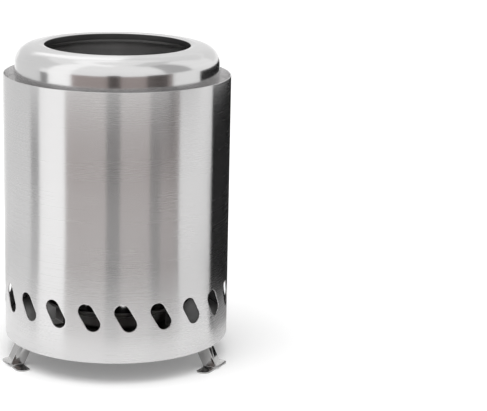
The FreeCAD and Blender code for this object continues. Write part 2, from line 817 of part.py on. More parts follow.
def write(parts):
    """Write each finished part to its own file."""
    for part in parts:
        if part.Shape.isNull() or not part.Shape.isValid():
            raise RuntimeError(f"{part.Label} has no valid shape")
    os.makedirs("parts", exist_ok=True)
    for part in parts:
        part.Shape.exportStep(f"parts/{part.Label}.step")
        box = part.Shape.BoundBox
        print(f"{part.Label}: {len(part.Shape.Solids)} solid(s), {part.Shape.Volume:.1f} mm3, "
              f"z {box.ZMin:.2f} to {box.ZMax:.2f}")


def main():
    doc = FreeCAD.newDocument("fire_pit")
    fill_sheet(doc, "Sizes", SIZES)
    fill_sheet(doc, "Places", {name: "=" + linked(text).replace("Places.", "")
                               for name, text in PLACES.items()})
    parts = [outer_shell(doc), base_plate(doc), burn_chamber(doc), chamber_spacers(doc)]
    parts += [flame_ring(doc), ring_tabs(doc), fire_grate(doc), ash_pan(doc)]
    for side in LEGS:
        parts += [leg(doc, side), leg_bracket(doc, side), leg_pin(doc, side)]
    parts += [leg_washers(doc), bracket_rivets(doc)]
    doc.recompute()
    check(doc)
    write(parts)


main()
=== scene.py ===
"""Table-top smokeless fire pit: its sheet-metal pieces, their finishes and a plain studio."""

import math

import bmesh
import bpy
from mathutils import Matrix, Vector


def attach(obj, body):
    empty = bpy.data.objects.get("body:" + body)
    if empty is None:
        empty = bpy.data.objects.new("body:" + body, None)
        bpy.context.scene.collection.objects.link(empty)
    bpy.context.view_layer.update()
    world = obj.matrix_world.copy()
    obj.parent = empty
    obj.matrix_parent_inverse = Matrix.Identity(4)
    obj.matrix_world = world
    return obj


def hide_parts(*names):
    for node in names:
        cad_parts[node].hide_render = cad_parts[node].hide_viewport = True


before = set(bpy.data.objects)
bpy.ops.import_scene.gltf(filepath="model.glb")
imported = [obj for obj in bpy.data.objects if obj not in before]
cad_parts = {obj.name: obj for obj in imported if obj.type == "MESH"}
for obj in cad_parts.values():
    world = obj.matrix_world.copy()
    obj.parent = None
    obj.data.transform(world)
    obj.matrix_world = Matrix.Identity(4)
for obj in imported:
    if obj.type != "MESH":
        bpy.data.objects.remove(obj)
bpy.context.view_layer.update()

bl_info = {
    "name": "Smokeless Fire Pit",
    "version": (1, 0, 0),
    "blender": (4, 5, 0),
    "location": "3D View > Sidebar > Fire Pit",
    "description": "Builds the pieces, finishes and studio of a table-top smokeless fire pit",
    "category": "Add Mesh",
}

MM = 0.001

# The legs' turns about the pit's axis, and how far from it their hinge pins lie. The rivets of their
# brackets are set back from the pins towards the axis.
LEG_TURNS = {"rear": 90.0, "left": 210.0, "right": 330.0}
LEG_PIVOT = 70.4985 * MM
RIVET_SETBACKS = (13.0 * MM, 7.5 * MM)
RIVET_HOLE = 1.3 * MM

# The gap at a spot weld, and how near two points count as one.
WELD_GAP = 0.05 * MM
SAME_PLACE = 1e-6

# How sharp an edge must be to be softened, to be shaded as a fold, and for both on a copied solid.
FOLD_ANGLE = math.radians(35)
SMOOTH_ANGLE = math.radians(30)
SOLID_ANGLE = math.radians(40)

# The grain's relief, and how deep in the sheet its inside starts, with what soft edge; the inside's
# colour gets painted shade.
# Then how strong light lines, dark clouds and dull clouds are beside the dark lines.
GRAIN_HEIGHT = 0.02 * MM
INSIDE_DEPTH = 0.4
MASK_EDGE = 0.2 * MM
LIGHT_LINES = 0.3
DARK_CLOUDS = 0.35
ROUGH_CLOUDS = 0.6

FINISHES = (
    "shell_brushed_steel", "ring_spun_steel", "chamber_brushed_steel", "inner_mill_steel",
    "base_mill_steel", "grate_mill_steel", "pin_plain_steel",
    *(f"leg_{side}_satin_steel" for side in LEG_TURNS),
)

# Where the photograph was taken from, as fitted to it: the place, and the turns in degrees.
CAMERA_PLACE = (51.4 * MM, -1201.4 * MM, 407.85 * MM)
CAMERA_YAW = 1.87
CAMERA_PITCH = 13.976
CAMERA_ROLL = 1.283


def length(label, description, millimetres):
    """A size property in metres, with its default given in millimetres."""
    return bpy.props.FloatProperty(
        name=label, description=description, default=millimetres * MM, min=0.0,
        unit="LENGTH", subtype="DISTANCE", precision=4,
    )


def tint(label, description, default):
    """A colour property."""
    return bpy.props.FloatVectorProperty(
        name=label, description=description, default=default, min=0.0, max=1.0, size=3, subtype="COLOR",
    )


def share(label, description, default):
    """A property from nothing to all."""
    return bpy.props.FloatProperty(
        name=label, description=description, default=default, min=0.0, max=1.0, subtype="FACTOR",
    )


class FirePitSizes(bpy.types.PropertyGroup):
    """Sizes of the pieces."""

    shell_radius: length("Shell radius", "Outside radius of the outer shell", 79.98)
    shell_foot: length("Shell foot", "Height of the shell's lower edge above the table", 15.6)
    shell_rim: length("Shell rim", "Height of the shell's upper edge", 203.6)
    sheet: length("Sheet", "Thickness of the shell, chamber and ring", 0.8)
    edge_round: length("Edge round", "Rounding of the sheet's cut edges", 0.3)
    vent_height: length("Inlet height", "Height of the air inlets' centres", 47.7)
    vent_length: length("Inlet length", "Length of an air inlet, ends included", 20.6)
    vent_width: length("Inlet width", "Width of an air inlet", 10.6)
    vent_tilt: bpy.props.FloatProperty(
        name="Inlet tilt", description="Slant of the air inlets from upright",
        default=math.radians(30), subtype="ANGLE",
    )
    vent_turn: bpy.props.FloatProperty(
        name="First inlet", description="Turn of the first air inlet from the front",
        default=math.radians(6.9), subtype="ANGLE",
    )
    vent_count: bpy.props.IntProperty(
        name="Inlets", description="Number of air inlets round the shell", default=20, min=3,
    )
    chamber_radius: length("Chamber radius", "Outside radius of the burn chamber", 55.2)
    chamber_bottom: length("Chamber bottom", "Height of the underside of the burn chamber", 39.9)
    chamber_opening: length("Chamber opening", "Radius of the opening in the chamber's bottom", 44.5)
    ledge: length("Ledge height", "Height of the ledge that closes the double wall", 198.0)
    jet_radius: length("Jet radius", "Radius of the air jets under the ledge", 2.0)
    jet_height: length("Jet height", "Height of the air jets", 188.0)
    jet_count: bpy.props.IntProperty(
        name="Jets", description="Number of air jets round the chamber", default=36, min=3,
    )
    ring_radius: length("Ring radius", "Outside radius of the flame ring's skirt", 71.8)
    ring_foot: length("Ring foot", "Height of the flame ring's lower edge", 198.05)
    ring_shoulder: length("Ring shoulder", "Height of the ring's shoulder before rounding", 222.25)
    ring_shoulder_round: length("Shoulder round", "Rounding of the ring's shoulder", 12.5)
    ring_hole: length("Ring hole", "Radius of the ring's opening", 51.2)
    ring_brow: length("Ring brow", "Radius where the ring's top starts to dip to its opening", 54.4)
    ring_dip: length("Ring dip", "How far the top dips between the brow and the opening", 0.55)
    ring_edge_round: length("Ring edge round", "Rounding of the opening's edge", 0.8)
    ring_lip_foot: length("Lip foot", "Height of the lower edge of the opening's lip", 219.43)
    ring_slope: bpy.props.FloatProperty(
        name="Ring slope", description="Rise of the ring's top towards its opening",
        default=math.radians(7.2), subtype="ANGLE",
    )
    base_top: length("Base top", "Height of the base plate's upper face", 26.8)
    base_lip: length("Base lip", "Depth of the base plate's turned-down edge", 6.0)
    grate_radius: length("Grate radius", "Radius of the fire grate", 47.0)
    grate_bottom: length("Grate bottom", "Height of the fire grate's underside", 40.75)
    grate_sheet: length("Grate thickness", "Thickness of the fire grate", 1.5)
    grate_finger: length("Finger hole", "Radius of the hole that the grate is lifted by", 8.0)
    grate_hole: length("Grate hole", "Radius of the holes in the grate", 3.5)
    pan_radius: length("Pan radius", "Radius of the ash pan's body", 41.0)
    pan_bottom: length("Pan bottom", "Height of the ash pan's underside", 26.85)
    pan_height: length("Pan height", "Height of the ash pan", 9.0)
    pan_rim: length("Pan rim", "Width of the ash pan's turned-out rim", 1.6)


class FirePitFinish(bpy.types.PropertyGroup):
    """Colours and finishes of the steel."""

    shell_tint: tint("Shell steel", "Colour of the outer shell", (0.708, 0.702, 0.703))
    ring_tint: tint("Ring steel", "Colour of the flame ring", (0.735, 0.731, 0.731))
    chamber_tint: tint("Chamber steel", "Colour of the burn chamber", (0.61, 0.60, 0.598))
    inner_tint: tint("Inner steel", "Colour of the pieces inside", (0.60, 0.594, 0.587))
    leg_tint: tint("Leg steel", "Colour of the legs and their brackets", (0.49, 0.486, 0.483))
    pin_tint: tint("Pin steel", "Colour of the pins, washers and rivets", (0.66, 0.654, 0.647))
    grain_depth: share("Grain depth", "How much the brushed lines show in the colour", 0.06)


class FirePitStudio(bpy.types.PropertyGroup):
    """The floor, the light and the camera."""

    floor_tint: tint("Floor", "Colour of the floor", (0.90, 0.90, 0.90))
    sky: bpy.props.FloatProperty(
        name="Sky", description="Strength of the even light from all round", default=0.8, min=0.0,
    )
    lamp_power: bpy.props.FloatProperty(
        name="Lamp", description="Power of the soft lamp in watts", default=12.0, min=0.0,
    )
    lamp_size: bpy.props.FloatVectorProperty(
        name="Lamp size", description="Width and height of the soft lamp", default=(1.5, 1.3), size=2,
    )
    lamp_place: bpy.props.FloatVectorProperty(
        name="Lamp place", description="Where the soft lamp hangs", default=(-0.18, -0.50, 1.45),
    )
    # The floor's glow is weaker beside the pit than away from it, which paints shade on the floor round
    # the pit besides its real shadow.
    glow_from: length("Glow from", "Distance from the pit where the floor's glow starts to rise", 120.0)
    glow_to: length("Glow to", "Distance from the pit where the floor's glow is full", 400.0)
    glow_near_painted_shade: share("Near glow", "Glow of the floor beside the pit", 0.14)
    glow_far: share("Far glow", "Glow of the floor away from the pit", 0.30)
    lens: bpy.props.FloatProperty(
        name="Lens", description="Focal length of the camera", default=127.56, min=1.0,
        unit="CAMERA",
    )


def rounded(corners, steps=6, closed=True):
    """An outline through corners, each (across, up) or (across, up, radius), with its arcs drawn."""
    points = []
    count = len(corners)
    for i, corner in enumerate(corners):
        here = Vector(corner[:2])
        radius = corner[2] if len(corner) > 2 else 0.0
        if radius <= 0.0 or (not closed and i in (0, count - 1)):
            points.append(here)
            continue
        before = (Vector(corners[i - 1][:2]) - here).normalized()
        after = (Vector(corners[(i + 1) % count][:2]) - here).normalized()
        half = before.angle(after) / 2
        centre = here + (before + after).normalized() * (radius / math.sin(half))
        start = here + before * (radius / math.tan(half)) - centre
        end = here + after * (radius / math.tan(half)) - centre
        sweep = math.atan2(start.x * end.y - start.y * end.x, start.dot(end))
        for step in range(steps + 1):
            turn = Matrix.Rotation(sweep * step / steps, 2)
            points.append(centre + turn @ start)
    return points


def new_piece(name, bm):
    """Turns a bmesh into an object at the origin."""
    mesh = bpy.data.meshes.new(name)
    bm.to_mesh(mesh)
    bm.free()
    piece = bpy.data.objects.new(name, mesh)
    bpy.context.scene.collection.objects.link(piece)
    return piece


def round_vertices(bm, radius, height, columns):
    """A ring of vertices, or one vertex for all columns where the radius is nothing."""
    if radius < SAME_PLACE:
        return [bm.verts.new((0.0, 0.0, height))] * columns
    ring = []
    for column in range(columns):
        turn = 2 * math.pi * column / columns
        ring.append(bm.verts.new((radius * math.cos(turn), radius * math.sin(turn), height)))
    return ring


def turned(name, outline, columns, closed=True):
    """A solid of revolution about the pit's axis, from an outline of (radius, height)."""
    bm = bmesh.new()
    rings = [round_vertices(bm, point[0], point[1], columns) for point in outline]
    last = len(rings) if closed else len(rings) - 1
    for i in range(last):
        one = rings[i]
        two = rings[(i + 1) % len(rings)]
        for column in range(columns):
            beside = (column + 1) % columns
            corners = []
            for vertex in (one[column], one[beside], two[beside], two[column]):
                if vertex not in corners:
                    corners.append(vertex)
            if len(corners) > 2:
                bm.faces.new(corners)
    bmesh.ops.recalc_face_normals(bm, faces=bm.faces)
    return new_piece(name, bm)


def pill(half_run, radius, tilt):
    """A function that finds where a ray from a slanted slot's middle, at an angle, leaves the slot."""
    axis = Vector((-math.sin(tilt), math.cos(tilt)))

    def reach(angle, halvings=40):
        ray = Vector((math.cos(angle), math.sin(angle)))
        low = 0.0
        high = half_run + radius
        for _ in range(halvings):
            middle = (low + high) / 2
            point = ray * middle
            along = max(-half_run, min(half_run, point.dot(axis)))
            if (point - axis * along).length < radius:
                low = middle
            else:
                high = middle
        return ray * low

    return reach


def pierced_sector(name, profile, panel, count, hole, hole_height, columns, sides, rings=5, ease=0.8):
    """One share of a turned sheet, with a hole in the upright panel after the given profile point.

    The panel's edge has columns and sides, and rings of faces run from it to the hole.
    """
    bm = bmesh.new()
    share_angle = 2 * math.pi / count
    angles = [share_angle * (column / columns - 0.5) for column in range(columns + 1)]

    def on_round(radius, angle, height):
        return bm.verts.new((radius * math.sin(angle), -radius * math.cos(angle), height))

    rows = [[on_round(point[0], angle, point[1]) for angle in angles] for point in profile]
    for i in range(len(rows) - 1):
        if i == panel:
            continue
        for column in range(columns):
            bm.faces.new((
                rows[i][column], rows[i][column + 1], rows[i + 1][column + 1], rows[i + 1][column],
            ))
    radius, low = profile[panel]
    high = profile[panel + 1][1]
    right = [on_round(radius, angles[-1], low + (high - low) * s / sides) for s in range(1, sides)]
    left = [on_round(radius, angles[0], high + (low - high) * s / sides) for s in range(1, sides)]
    edge = rows[panel][:] + right + rows[panel + 1][::-1] + left
    places = []
    for vertex in edge:
        places.append(Vector((math.atan2(vertex.co.x, -vertex.co.y), vertex.co.z)))
    loops = [edge]
    for ring in range(1, rings + 1):
        blend = (ring / rings) ** ease
        loop = []
        for place in places:
            across = place.x * radius
            up = place.y - hole_height
            inside = hole(math.atan2(up, across))
            rim = Vector((math.asin(inside.x / radius), inside.y + hole_height))
            spot = place.lerp(rim, blend)
            loop.append(on_round(radius, spot.x, spot.y))
        loops.append(loop)
    for outer, inner in zip(loops, loops[1:]):
        for i in range(len(outer)):
            j = (i + 1) % len(outer)
            bm.faces.new((outer[i], outer[j], inner[j], inner[i]))
    return new_piece(name, bm)


def link(tree, start, output, end, socket):
    """Joins two nodes' sockets."""
    tree.links.new(start.outputs[output], end.inputs[socket])


def math_node(tree, operation, first, second=None):
    """A Math node whose inputs are numbers or (node, output) pairs."""
    node = tree.nodes.new("ShaderNodeMath")
    node.operation = operation
    for i, given in enumerate((first, second)):
        if given is None:
            continue
        if isinstance(given, tuple):
            link(tree, given[0], given[1], node, i)
        else:
            node.inputs[i].default_value = given
    return node


def set_inputs(node, values):
    """Sets a node's inputs by their names."""
    for label, value in values.items():
        node.inputs[label].default_value = value


def new_group(name, kind, inputs, outputs):
    """A node group and its two end nodes, from rows of socket names, kinds and defaults."""
    tree = bpy.data.node_groups.new(name, kind)
    for label, socket, *default in inputs:
        added = tree.interface.new_socket(name=label, in_out="INPUT", socket_type=f"NodeSocket{socket}")
        if default:
            added.default_value = default[0]
    for label, socket in outputs:
        tree.interface.new_socket(name=label, in_out="OUTPUT", socket_type=f"NodeSocket{socket}")
    return tree, tree.nodes.new("NodeGroupInput"), tree.nodes.new("NodeGroupOutput")


def turn_of_copy(tree, start):
    """The turn round the axis of each of the Count copies, from First Turn on."""
    index = tree.nodes.new("GeometryNodeInputIndex")
    step = math_node(tree, "DIVIDE", 2 * math.pi, (start, "Count"))
    angle = math_node(tree, "MULTIPLY", (index, "Index"), (step, 0))
    return math_node(tree, "ADD", (angle, 0), (start, "First Turn"))


def paint_and_end(tree, start, mesh, output, end):
    """Gives the group's result its material and hands it out."""
    painted = tree.nodes.new("GeometryNodeSetMaterial")
    link(tree, mesh, output, painted, "Geometry")
    link(tree, start, "Material", painted, "Material")
    link(tree, painted, 0, end, 0)


def repeat_round_tree():
    """Nodes that repeat a piece's own mesh round the pit's axis and join the copies."""
    known = bpy.data.node_groups.get("repeat_round_axis")
    if known:
        return known
    tree, start, end = new_group("repeat_round_axis", "GeometryNodeTree", (
        ("Geometry", "Geometry"), ("Count", "Int", 12), ("First Turn", "Float", 0.0),
        ("Material", "Material"),
    ), (("Geometry", "Geometry"),))
    points = tree.nodes.new("GeometryNodePoints")
    link(tree, start, "Count", points, "Count")
    turn = tree.nodes.new("ShaderNodeCombineXYZ")
    link(tree, turn_of_copy(tree, start), 0, turn, "Z")
    copies = tree.nodes.new("GeometryNodeInstanceOnPoints")
    link(tree, points, 0, copies, "Points")
    link(tree, start, "Geometry", copies, "Instance")
    link(tree, turn, 0, copies, "Rotation")
    real = tree.nodes.new("GeometryNodeRealizeInstances")
    link(tree, copies, 0, real, 0)
    joined = tree.nodes.new("GeometryNodeMergeByDistance")
    joined.inputs["Distance"].default_value = SAME_PLACE
    link(tree, real, 0, joined, "Geometry")
    paint_and_end(tree, start, joined, "Geometry", end)
    return tree


def drill_round_tree():
    """Nodes that drill a ring of round holes through a piece, down the pit's axis."""
    known = bpy.data.node_groups.get("drill_round_axis")
    if known:
        return known
    tree, start, end = new_group("drill_round_axis", "GeometryNodeTree", (
        ("Geometry", "Geometry"), ("Count", "Int", 12), ("First Turn", "Float", 0.0),
        ("Ring Radius", "Float", 0.03), ("Hole Radius", "Float", 0.003), ("Height", "Float", 0.0),
        ("Material", "Material"),
    ), (("Geometry", "Geometry"),))
    turn = turn_of_copy(tree, start)
    place = tree.nodes.new("ShaderNodeCombineXYZ")
    for axis, shape in (("X", "COSINE"), ("Y", "SINE")):
        wave = math_node(tree, shape, (turn, 0))
        link(tree, math_node(tree, "MULTIPLY", (wave, 0), (start, "Ring Radius")), 0, place, axis)
    link(tree, start, "Height", place, "Z")
    points = tree.nodes.new("GeometryNodePoints")
    link(tree, start, "Count", points, "Count")
    link(tree, place, 0, points, "Position")
    drill = tree.nodes.new("GeometryNodeMeshCylinder")
    set_inputs(drill, {"Vertices": 32, "Depth": 20 * MM})
    link(tree, start, "Hole Radius", drill, "Radius")
    drills = tree.nodes.new("GeometryNodeInstanceOnPoints")
    link(tree, points, 0, drills, "Points")
    link(tree, drill, "Mesh", drills, "Instance")
    real = tree.nodes.new("GeometryNodeRealizeInstances")
    link(tree, drills, 0, real, 0)
    cut = tree.nodes.new("GeometryNodeMeshBoolean")
    cut.operation = "DIFFERENCE"
    link(tree, start, "Geometry", cut, "Mesh 1")
    link(tree, real, 0, cut, "Mesh 2")
    paint_and_end(tree, start, cut, 0, end)
    return tree


def add_nodes(piece, tree, **values):
    """Adds a Geometry Nodes modifier and sets its inputs, whose names are given with underscores."""
    modifier = piece.modifiers.new(tree.name, "NODES")
    modifier.node_group = tree
    for item in tree.interface.items_tree:
        wanted = item.name.replace(" ", "_").lower()
        if getattr(item, "in_out", "") == "INPUT" and wanted in values:
            modifier[item.identifier] = values[wanted]


def add_wall(piece, thickness, offset=-1.0):
    """Gives a sheet its thickness."""
    wall = piece.modifiers.new("wall", "SOLIDIFY")
    wall.thickness = thickness
    wall.offset = offset
    wall.use_even_offset = True


def add_soft_edges(piece, width, angle=FOLD_ANGLE):
    """Breaks a piece's sharp edges."""
    edges = piece.modifiers.new("soft_edges", "BEVEL")
    edges.width = width
    edges.segments = 2
    edges.limit_method = "ANGLE"
    edges.angle_limit = angle
    edges.use_clamp_overlap = True
    edges.harden_normals = False


def bake_modifiers(piece):
    """Replaces a piece's mesh with what its modifiers make of it."""
    bpy.context.view_layer.update()
    graph = bpy.context.evaluated_depsgraph_get()
    mesh = bpy.data.meshes.new_from_object(piece.evaluated_get(graph))
    piece.modifiers.clear()
    old = piece.data
    piece.data = mesh
    mesh.name = piece.name
    bpy.data.meshes.remove(old)


def shade(piece, angle=SMOOTH_ANGLE):
    """Smooth shading that keeps the folds crisp."""
    mesh = piece.data
    mesh.polygons.foreach_set("use_smooth", [True] * len(mesh.polygons))
    mesh.set_sharp_from_angle(angle=angle)
    mesh.update()


def hand_over(piece, body, node):
    """Puts a finished piece on its body in place of a CAD node."""
    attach(piece, body)
    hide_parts(node)


def set_material(piece, material):
    """Gives a piece one material."""
    piece.data.materials.clear()
    piece.data.materials.append(material)


def noise_node(tree, place, output, scale, detail):
    """A Noise node read at a place."""
    noise = tree.nodes.new("ShaderNodeTexNoise")
    set_inputs(noise, {"Scale": scale, "Detail": detail})
    link(tree, place, output, noise, "Vector")
    return noise


def turned_grain_and_inside_shade_group():
    """Fine lines round the pit's axis, and a mask for the side that faces the axis, where the steel
    paints shade into the colour and dulls it.

    That side starts at Inner Radius. Above Turn Height this limit changes with the height.
    """
    known = bpy.data.node_groups.get("grain_round_axis")
    if known:
        return known
    tree, start, end = new_group("grain_round_axis", "ShaderNodeTree", (
        ("Lines per Metre", "Float", 4000.0), ("Runs per Metre", "Float", 60.0),
        ("Contrast", "Float", 1.0), ("Inner Radius", "Float", 0.0), ("Turn Height", "Float", 1.0),
        ("Change per Metre", "Float", 0.0),
    ), (("Lines", "Float"), ("Inside", "Float"), ("Clouds", "Float")))
    place = tree.nodes.new("ShaderNodeTexCoord")
    split = tree.nodes.new("ShaderNodeSeparateXYZ")
    link(tree, place, "Object", split, 0)
    flat = tree.nodes.new("ShaderNodeCombineXYZ")
    link(tree, split, "X", flat, "X")
    link(tree, split, "Y", flat, "Y")
    reach = tree.nodes.new("ShaderNodeVectorMath")
    reach.operation = "LENGTH"
    link(tree, flat, 0, reach, 0)
    above = math_node(tree, "SUBTRACT", (split, "Z"), (start, "Turn Height"))
    above = math_node(tree, "MAXIMUM", (above, 0), 0.0)
    change = math_node(tree, "MULTIPLY", (above, 0), (start, "Change per Metre"))
    limit = math_node(tree, "ADD", (start, "Inner Radius"), (change, 0))
    depth = math_node(tree, "SUBTRACT", (limit, 0), (reach, "Value"))
    inside = math_node(tree, "DIVIDE", (depth, 0), MASK_EDGE)
    inside.use_clamp = True
    link(tree, inside, 0, end, "Inside")
    where = tree.nodes.new("ShaderNodeCombineXYZ")
    for axis, rate in (("X", "Runs per Metre"), ("Y", "Runs per Metre"), ("Z", "Lines per Metre")):
        link(tree, math_node(tree, "MULTIPLY", (split, axis), (start, rate)), 0, where, axis)
    grain = noise_node(tree, where, 0, 1.0, 3.0)
    grain.noise_dimensions = "4D"
    grain.inputs["Roughness"].default_value = 0.6
    spokes = math_node(tree, "MULTIPLY", (reach, "Value"), (start, "Lines per Metre"))
    link(tree, spokes, 0, grain, "W")
    centred = math_node(tree, "SUBTRACT", (grain, "Fac"), 0.5)
    strong = math_node(tree, "MULTIPLY", (centred, 0), (start, "Contrast"))
    lines = math_node(tree, "ADD", (strong, 0), 0.5)
    lines.use_clamp = True
    link(tree, lines, 0, end, "Lines")
    link(tree, noise_node(tree, place, "Object", 22.0, 3.0), "Fac", end, "Clouds")
    return tree


def sheet_grain_group():
    """Fine lines along one direction, as rolled or brushed flat sheet has them."""
    known = bpy.data.node_groups.get("grain_along_sheet")
    if known:
        return known
    tree, start, end = new_group("grain_along_sheet", "ShaderNodeTree", (
        ("Stretch", "Vector", (4000.0, 120.0, 120.0)), ("Turn", "Float", 0.0),
    ), (("Lines", "Float"), ("Clouds", "Float")))
    place = tree.nodes.new("ShaderNodeTexCoord")
    spin = tree.nodes.new("ShaderNodeVectorRotate")
    spin.rotation_type = "Z_AXIS"
    link(tree, place, "Object", spin, "Vector")
    link(tree, start, "Turn", spin, "Angle")
    stretch = tree.nodes.new("ShaderNodeVectorMath")
    stretch.operation = "MULTIPLY"
    link(tree, spin, 0, stretch, 0)
    link(tree, start, "Stretch", stretch, 1)
    link(tree, noise_node(tree, stretch, 0, 1.0, 3.0), "Fac", end, "Lines")
    link(tree, noise_node(tree, place, "Object", 60.0, 3.0), "Fac", end, "Clouds")
    return tree


def spread(tree, source, output, low, high):
    """Maps the middle half of a 0 to 1 pattern onto a range and holds it at the range's ends."""
    node = tree.nodes.new("ShaderNodeMapRange")
    set_inputs(node, {"From Min": 0.25, "From Max": 0.75, "To Min": low, "To Max": high})
    link(tree, source, output, node, "Value")
    return node


def steel(
        name, colour, roughness, group, values, grain, play=0.05, bump=0.2, stretch=0.0,
        round_axis=False, inside=None,
):
    """Bare steel: its grain shows in the colour, in the roughness and in the surface.

    grain and play are how far colour and roughness vary, and bump is the strength of the relief.
    inside holds the colour's share that paints shade on the side towards the pit's axis, and that side's
    extra roughness.
    """
    material = bpy.data.materials.new(name)
    material.use_nodes = True
    material.diffuse_color = (*colour, 1.0)
    tree = material.node_tree
    shader = tree.nodes["Principled BSDF"]
    set_inputs(shader, {"Metallic": 1.0, "Roughness": roughness})
    pattern = tree.nodes.new("ShaderNodeGroup")
    pattern.node_tree = group
    set_inputs(pattern, values)
    level = spread(tree, pattern, "Lines", 1.0 - grain, 1.0 + grain * LIGHT_LINES)
    cloud = spread(tree, pattern, "Clouds", 1.0 - grain * DARK_CLOUDS, 1.0)
    both = math_node(tree, "MULTIPLY", (level, 0), (cloud, 0))
    # Painted shade: the colour of the side towards the pit's axis is cut to its share.
    if inside:
        painted_inside_shade = math_node(tree, "MULTIPLY", (pattern, "Inside"), inside[0] - 1.0)
        left = math_node(tree, "ADD", (painted_inside_shade, 0), 1.0)
        both = math_node(tree, "MULTIPLY", (both, 0), (left, 0))
    tinted = tree.nodes.new("ShaderNodeVectorMath")
    tinted.operation = "SCALE"
    tinted.inputs[0].default_value = colour
    link(tree, both, 0, tinted, "Scale")
    link(tree, tinted, 0, shader, "Base Color")
    rough = spread(tree, pattern, "Lines", roughness + play, roughness - play)
    smudge = spread(tree, pattern, "Clouds", -play * ROUGH_CLOUDS, play * ROUGH_CLOUDS)
    total = math_node(tree, "ADD", (rough, 0), (smudge, 0))
    if inside:
        dull = math_node(tree, "MULTIPLY", (pattern, "Inside"), inside[1])
        total = math_node(tree, "ADD", (total, 0), (dull, 0))
    link(tree, total, 0, shader, "Roughness")
    relief = tree.nodes.new("ShaderNodeBump")
    set_inputs(relief, {"Strength": bump, "Distance": GRAIN_HEIGHT})
    link(tree, pattern, "Lines", relief, "Height")
    link(tree, relief, 0, shader, "Normal")
    if stretch:
        shader.inputs["Anisotropic"].default_value = stretch
    if round_axis:
        shader.inputs["Anisotropic Rotation"].default_value = 0.25
        tangent = tree.nodes.new("ShaderNodeTangent")
        tangent.direction_type = "RADIAL"
        tangent.axis = "Z"
        link(tree, tangent, 0, shader, "Tangent")


def finishes():
    """The pit's steels, each made once."""
    if FINISHES[0] in bpy.data.materials:
        return {name: bpy.data.materials[name] for name in FINISHES}
    finish = bpy.context.scene.fire_pit_finish
    sizes = bpy.context.scene.fire_pit_sizes
    grain = finish.grain_depth
    # The base plate sits in shade inside the double wall; its colour is half the inner steel's, as
    # painted shade.
    painted_shade_tint = tuple(0.5 * value for value in finish.inner_tint)
    turned_steel = {"group": turned_grain_and_inside_shade_group(), "round_axis": True}
    flat_steel = {"group": sheet_grain_group(), "grain": grain}
    # Painted shade darkens the shell's inside up to 8 mm under the ledge; above that, where light falls
    # in from the top, it is left unshaded.
    steel(
        "shell_brushed_steel", finish.shell_tint, 0.27, **turned_steel,
        values={
            "Lines per Metre": 1900.0, "Runs per Metre": 1.6, "Contrast": 1.0,
            "Inner Radius": sizes.shell_radius - sizes.sheet * INSIDE_DEPTH,
            "Turn Height": sizes.ledge - 8.0 * MM, "Change per Metre": -2.0,
        },
        grain=grain * 0.4, play=0.01, bump=0.0015, stretch=1.0, inside=(0.3, 0.0),
    )
    # Painted shade makes the inner face of the ring's lip dark; that face is also rougher.
    steel(
        "ring_spun_steel", finish.ring_tint, 0.19, **turned_steel,
        values={
            "Lines per Metre": 1100.0, "Runs per Metre": 3.0, "Contrast": 0.8,
            "Inner Radius": sizes.ring_hole + 0.25 * MM,
        },
        grain=grain * 0.5, play=0.02, bump=0.012, stretch=0.4, inside=(0.15, 0.2),
    )
    # Painted shade darkens the chamber's inside and, from 2.6 mm under the ledge up, spreads outward
    # over the mouth's bend and the ledge, dimming their highlight; that side is also rougher.
    steel(
        "chamber_brushed_steel", finish.chamber_tint, 0.06, **turned_steel,
        values={
            "Lines per Metre": 900.0, "Runs per Metre": 3.0, "Contrast": 1.5,
            "Inner Radius": sizes.chamber_radius - sizes.sheet * INSIDE_DEPTH,
            "Turn Height": sizes.ledge - 2.6 * MM, "Change per Metre": 6.0,
        },
        grain=grain * 1.6, play=0.015, bump=0.01, stretch=0.95, inside=(0.62, 0.42),
    )
    steel(
        "inner_mill_steel", finish.inner_tint, 0.38, **flat_steel,
        values={"Stretch": (2600.0, 90.0, 90.0)}, play=0.06,
    )
    # Mill steel with painted shade: darkened to half the inner colour.
    steel(
        "base_mill_steel", painted_shade_tint, 0.42, **flat_steel,
        values={"Stretch": (2600.0, 90.0, 90.0), "Turn": 0.3}, play=0.06,
    )
    steel(
        "grate_mill_steel", finish.inner_tint, 0.42, **flat_steel,
        values={"Stretch": (2200.0, 80.0, 80.0), "Turn": 0.6}, play=0.06, bump=0.3,
    )
    for side, turn in LEG_TURNS.items():
        steel(
            f"leg_{side}_satin_steel", finish.leg_tint, 0.11, **flat_steel,
            values={"Stretch": (180.0, 2600.0, 180.0), "Turn": -math.radians(turn)}, play=0.04,
        )
    steel(
        "pin_plain_steel", finish.pin_tint, 0.30, **flat_steel,
        values={"Stretch": (900.0, 900.0, 900.0)},
    )
    return {name: bpy.data.materials[name] for name in FINISHES}


def build_outer_shell(sizes):
    """The brushed cylinder with its ring of slanted air inlets."""
    panel_share = 0.62
    low = sizes.vent_height - sizes.vent_length * panel_share
    high = sizes.vent_height + sizes.vent_length * panel_share
    heights = (sizes.shell_foot, low, high, (high + sizes.shell_rim) / 2, sizes.shell_rim)
    profile = [(sizes.shell_radius, height) for height in heights]
    hole = pill((sizes.vent_length - sizes.vent_width) / 2, sizes.vent_width / 2, sizes.vent_tilt)
    shell = pierced_sector(
        "outer_shell_sheet", profile, 1, sizes.vent_count, hole, sizes.vent_height,
        columns=16, sides=18,
    )
    steel_finish = finishes()["shell_brushed_steel"]
    set_material(shell, steel_finish)
    add_nodes(
        shell, repeat_round_tree(), count=sizes.vent_count, first_turn=sizes.vent_turn,
        material=steel_finish,
    )
    add_wall(shell, sizes.sheet)
    add_soft_edges(shell, sizes.edge_round)
    bake_modifiers(shell)
    shade(shell)
    hand_over(shell, "root", "outer_shell")


